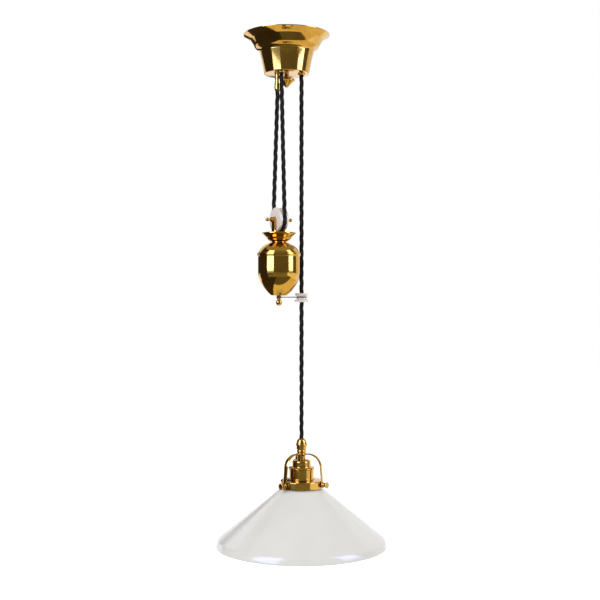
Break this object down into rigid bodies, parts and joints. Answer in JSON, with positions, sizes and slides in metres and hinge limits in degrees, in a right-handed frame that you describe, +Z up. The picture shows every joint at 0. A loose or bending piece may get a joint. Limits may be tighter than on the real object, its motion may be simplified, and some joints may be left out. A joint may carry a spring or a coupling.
{
  "type": "rise and fall pendant light",
  "caption": "Rise and fall pendant with a brass ceiling rose, a counterweight on a pulley and an opal glass cone, hung on one twisted cord.",
  "frame": {"origin": "in the ceiling plane, on the ceiling rose's axis, midway between the strap's slots", "axes": "+Z up to the ceiling, X along the line of the two cord outlets with the lamp on the +X side, Y square to it with the terminal block and the third thumb screw on the +Y side"},
  "size_m": [0.2514, 0.2514, 0.7496],
  "materials": {
    "aged_brass": "aged and polished, dark gold",
    "contact_brass": "bright",
    "wire": "dull grey",
    "zinc_steel": "zinc plated",
    "porcelain": "off-white glaze",
    "opal_glass": "glossy opal white",
    "cord": "braided, dark brown",
    "ballast": "as cast",
    "block_plastic": "moulded"
  },
  "bodies": {
    "ceiling_rose": {"ceiling_strap": "zinc_steel", "canopy_stud": "zinc_steel", "stud_locknut": "zinc_steel", "canopy": "aged_brass", "pulley_bracket": "zinc_steel", "bracket_rivets": "zinc_steel", "ceiling_axle": "zinc_steel", "ceiling_axle_clips": "zinc_steel", "anchor_grip_body": "aged_brass", "anchor_grip_cap": "aged_brass", "anchor_locknut": "aged_brass", "riser_bush": "aged_brass", "drop_bush": "aged_brass", "bush_locknuts": "aged_brass", "terminal_block": "block_plastic", "terminal_screws": "zinc_steel", "earth_screw": "aged_brass", "cord_tail": "cord", "cord_anchor_strand": "cord", "cord_riser_strand": "cord", "cord_ceiling_loop": "cord", "cord_drop_strand": "cord"},
    "canopy_knob": {"canopy_knob": "aged_brass"},
    "ceiling_pulley": {"ceiling_pulley": "porcelain"},
    "counterweight": {"weight_axle": "aged_brass", "axle_collars": "aged_brass", "weight_fork": "aged_brass", "fork_spacer": "aged_brass", "fork_nut": "aged_brass", "weight_dish": "aged_brass", "neck_collar": "aged_brass", "weight_lid": "aged_brass", "weight_band": "aged_brass", "weight_shell": "aged_brass", "lead_ballast": "ballast", "tie_rod": "zinc_steel", "weight_finial": "aged_brass", "guide_wire": "wire", "guide_spool": "porcelain", "cord_weight_loop": "cord"},
    "weight_pulley": {"weight_pulley": "porcelain"},
    "lamp": {"lamp_grip_cap": "aged_brass", "lamp_grip_body": "aged_brass", "lamp_nipple": "aged_brass", "shade_arch": "aged_brass", "arch_bosses": "aged_brass", "holder_cap": "aged_brass", "holder_ring": "aged_brass", "holder_skirt": "aged_brass", "porcelain_insert": "porcelain", "thread_shell": "contact_brass", "centre_contact": "contact_brass", "shade_ring": "aged_brass", "gallery": "aged_brass", "glass_shade": "opal_glass"},
    "screw_left": {"gallery_screw_left": "aged_brass"},
    "screw_right": {"gallery_screw_right": "aged_brass"},
    "screw_back": {"gallery_screw_back": "aged_brass"}
  },
  "joints": [
    {"name": "weight_slide", "type": "slide", "parent": "ceiling_rose", "child": "counterweight", "axis": [0, 0, 1], "range_m": [-0.0625, 0.14], "deforming": ["cord_anchor_strand", "cord_riser_strand"]},
    {"name": "lamp_slide", "type": "slide", "parent": "ceiling_rose", "child": "lamp", "axis": [0, 0, 1], "range_m": [-0.2805, 0.1255], "deforming": ["cord_drop_strand"]},
    {"name": "weight_pulley_turn", "type": "hinge", "parent": "counterweight", "child": "weight_pulley", "pos_m": [-0.01772, -0.0088, -0.273], "axis": [1, 0, 0], "range_deg": [-480, 220]},
    {"name": "ceiling_pulley_turn", "type": "hinge", "parent": "ceiling_rose", "child": "ceiling_pulley", "pos_m": [0, -0.0143, -0.033], "axis": [0, 1, 0], "range_deg": [-430, 960]},
    {"name": "knob_turn", "type": "hinge", "parent": "ceiling_rose", "child": "canopy_knob", "pos_m": [0, 0, -0.066], "axis": [0, 0, 1], "continuous": true},
    {"name": "screw_left_slide", "type": "slide", "parent": "lamp", "child": "screw_left", "axis": [-0.9816, -0.1908, 0], "range_m": [0, 0.004]},
    {"name": "screw_right_slide", "type": "slide", "parent": "lamp", "child": "screw_right", "axis": [0.6561, -0.7547, 0], "range_m": [0, 0.004]},
    {"name": "screw_back_slide", "type": "slide", "parent": "lamp", "child": "screw_back", "axis": [0.3256, 0.9455, 0], "range_m": [0, 0.004]}
  ],
  "couplings": [
    {"joint": "lamp_slide", "follows": "weight_slide", "ratio": -2},
    {"joint": "weight_pulley_turn", "follows": "weight_slide", "rad_per_m": -59.17},
    {"joint": "ceiling_pulley_turn", "follows": "weight_slide", "rad_per_m": 118.34}
  ]
}
